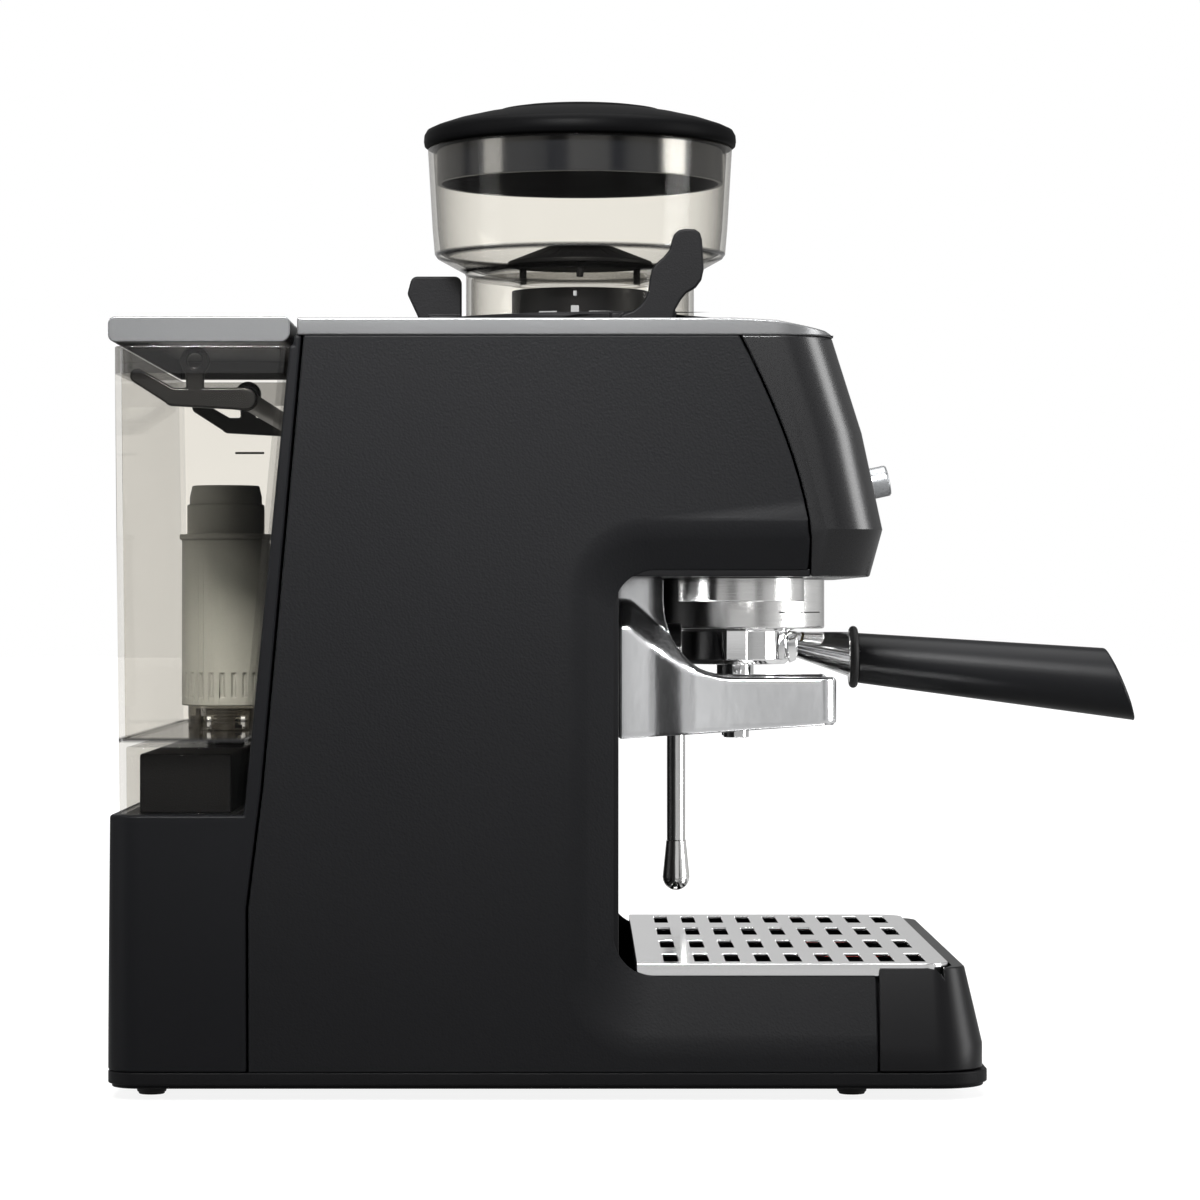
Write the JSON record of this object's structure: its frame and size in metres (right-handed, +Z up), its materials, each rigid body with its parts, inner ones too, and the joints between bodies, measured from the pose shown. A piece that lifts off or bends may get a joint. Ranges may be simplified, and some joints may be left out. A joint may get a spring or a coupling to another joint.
{
  "type": "espresso machine with built-in burr grinder",
  "caption": "Home espresso machine with a built-in conical burr grinder, a bean hopper on top, a rear water tank, a portafilter, a steam wand and a pull-out drip tray.",
  "frame": {"origin": "under the middle of the whole object's box, handle included, on the surface that it stands on", "axes": "+X is the machine's front, where the portafilter handle points; +Z is up; the user's left, with the grinder outlet, is -Y"},
  "size_m": [0.433, 0.29, 0.41],
  "materials": {
    "body_black": "fine leather-grained matte black",
    "brass": "machined",
    "cast_aluminium": "polished cast",
    "charcoal": "soft charcoal",
    "chrome": "polished",
    "dial_grey": "satin grey",
    "filter_grey": "matt moulded",
    "red_plastic": "moulded",
    "rubber": "matt",
    "satin_black": "smooth satin black",
    "silver": "satin silver paint",
    "smoked_clear": "smoked clear plastic",
    "smoked_dark": "dark tinted",
    "steel": "brushed",
    "white_plastic": "moulded"
  },
  "bodies": {
    "machine": {"base_plate": "body_black", "rubber_feet": "rubber", "base_screws": "steel", "left_side_panel": "body_black", "right_side_panel": "body_black", "rear_housing": "charcoal", "front_fascia": "satin_black", "column_panel": "satin_black", "head_floor": "satin_black", "top_plate": "silver", "inner_chassis": "steel", "cord_inlet": "body_black", "tank_plinth": "body_black", "grinder_collar": "body_black", "grinder_housing": "charcoal", "gearbox": "cast_aluminium", "grinder_bracket": "steel", "motor_can": "steel", "outlet_collar": "steel", "portafilter_cradle": "cast_aluminium", "group_ring": "steel", "group_head": "brass", "boiler": "cast_aluminium", "water_pump": "white_plastic"},
    "tank": {"water_tank": "smoked_clear", "valve_body": "body_black", "filter_holder": "smoked_dark", "filter_body": "filter_grey", "valve_spring": "steel"},
    "valve_poppet": {"valve_poppet": "steel"},
    "tank_handle": {"tank_handle": "body_black"},
    "tank_lid": {"tank_lid": "silver", "lid_hinge_pins": "steel"},
    "hopper": {"hopper_bowl": "smoked_clear", "bean_guard": "body_black"},
    "hopper_lid": {"hopper_lid": "body_black"},
    "grind_ring": {"grind_ring": "body_black", "burr_carrier": "charcoal", "ring_burr": "steel"},
    "burr": {"cone_burr": "steel", "burr_shaft": "steel", "dose_impeller": "white_plastic", "burr_gear": "steel"},
    "motor_rotor": {"motor_rotor": "steel"},
    "grind_switch": {"grind_switch": "satin_black"},
    "portafilter": {"portafilter": "chrome", "filter_basket": "steel", "double_spout": "chrome", "handle_neck": "chrome", "portafilter_handle": "satin_black"},
    "wand_swivel": {"wand_nut": "steel"},
    "steam_wand": {"steam_tube": "steel"},
    "drip_tray": {"drip_tray": "satin_black"},
    "drip_grate": {"drip_grate": "chrome"},
    "tray_float": {"tray_float": "red_plastic"},
    "control_dial": {"control_dial": "dial_grey"},
    "power_button": {"power_button": "steel"},
    "single_shot_button": {"single_shot_button": "steel"},
    "double_shot_button": {"double_shot_button": "steel"},
    "steam_button": {"steam_button": "steel"}
  },
  "joints": [
    {"name": "tank_lift", "type": "slide", "parent": "machine", "child": "tank", "axis": [0, 0, 1], "range_m": [0, 0.12]},
    {"name": "tank_lid_open", "type": "hinge", "parent": "tank", "child": "tank_lid", "pos_m": [-0.1476, 0, 0.30885], "axis": [0, 1, 0], "range_deg": [0, 95]},
    {"name": "tank_handle_raise", "type": "hinge", "parent": "tank", "child": "tank_handle", "pos_m": [-0.181, 0, 0.2965], "axis": [0, -1, 0], "range_deg": [0, 82]},
    {"name": "tank_valve_lift", "type": "slide", "parent": "tank", "child": "valve_poppet", "axis": [0, 0, 1], "range_m": [0, 0.003], "stiffness_N_per_m": 150, "springref_m": -0.004, "deforming": ["valve_spring"]},
    {"name": "hopper_turn", "type": "hinge", "parent": "machine", "child": "hopper", "pos_m": [-0.0265, -0.045, 0.313], "axis": [0, 0, 1], "range_deg": [0, 35]},
    {"name": "hopper_lid_lift", "type": "slide", "parent": "hopper", "child": "hopper_lid", "axis": [0, 0, 1], "range_m": [0, 0.06]},
    {"name": "grind_adjust", "type": "hinge", "parent": "machine", "child": "grind_ring", "pos_m": [-0.0265, -0.045, 0.313], "axis": [0, 0, 1], "range_deg": [-20, 20]},
    {"name": "burr_spin", "type": "hinge", "parent": "machine", "child": "burr", "pos_m": [-0.0265, -0.045, 0.25], "axis": [0, 0, 1], "continuous": true},
    {"name": "motor_spin", "type": "hinge", "parent": "machine", "child": "motor_rotor", "pos_m": [-0.0641, -0.045, 0.18], "axis": [0, 0, 1], "continuous": true},
    {"name": "grind_switch_press", "type": "slide", "parent": "machine", "child": "grind_switch", "axis": [-1, 0, 0], "range_m": [0, 0.003], "stiffness_N_per_m": 300, "springref_m": -0.003},
    {"name": "portafilter_turn", "type": "hinge", "parent": "machine", "child": "portafilter", "pos_m": [0.0415, 0.02, 0.19], "axis": [0, 0, 1], "range_deg": [-40, 0]},
    {"name": "wand_swivel_turn", "type": "hinge", "parent": "machine", "child": "wand_swivel", "pos_m": [0.0175, 0.105, 0.2], "axis": [0, 0, 1], "range_deg": [-60, 60]},
    {"name": "steam_wand_tilt", "type": "hinge", "parent": "wand_swivel", "child": "steam_wand", "pos_m": [0.0175, 0.105, 0.2], "axis": [0, -1, 0], "range_deg": [0, 35]},
    {"name": "drip_tray_pull", "type": "slide", "parent": "machine", "child": "drip_tray", "axis": [1, 0, 0], "range_m": [0, 0.11]},
    {"name": "drip_grate_lift", "type": "slide", "parent": "drip_tray", "child": "drip_grate", "axis": [0, 0, 1], "range_m": [0, 0.01]},
    {"name": "tray_float_rise", "type": "slide", "parent": "drip_tray", "child": "tray_float", "axis": [0, 0, 1], "range_m": [0, 0.006]},
    {"name": "dial_turn", "type": "hinge", "parent": "machine", "child": "control_dial", "pos_m": [0.0918, -0.06, 0.2485], "axis": [0.9776, 0, 0.2106], "range_deg": [-150, 150]},
    {"name": "power_button_press", "type": "slide", "parent": "machine", "child": "power_button", "axis": [-0.9776, 0, -0.2106], "range_m": [0, 0.0015], "stiffness_N_per_m": 400, "springref_m": -0.0015},
    {"name": "single_shot_button_press", "type": "slide", "parent": "machine", "child": "single_shot_button", "axis": [-0.9776, 0, -0.2106], "range_m": [0, 0.0015], "stiffness_N_per_m": 400, "springref_m": -0.0015},
    {"name": "double_shot_button_press", "type": "slide", "parent": "machine", "child": "double_shot_button", "axis": [-0.9776, 0, -0.2106], "range_m": [0, 0.0015], "stiffness_N_per_m": 400, "springref_m": -0.0015},
    {"name": "steam_button_press", "type": "slide", "parent": "machine", "child": "steam_button", "axis": [-0.9776, 0, -0.2106], "range_m": [0, 0.0015], "stiffness_N_per_m": 400, "springref_m": -0.0015}
  ],
  "couplings": [
    {"joint": "tank_handle_raise", "follows": "tank_lid_open", "ratio": 0.86306},
    {"joint": "motor_spin", "follows": "burr_spin", "ratio": -4}
  ]
}
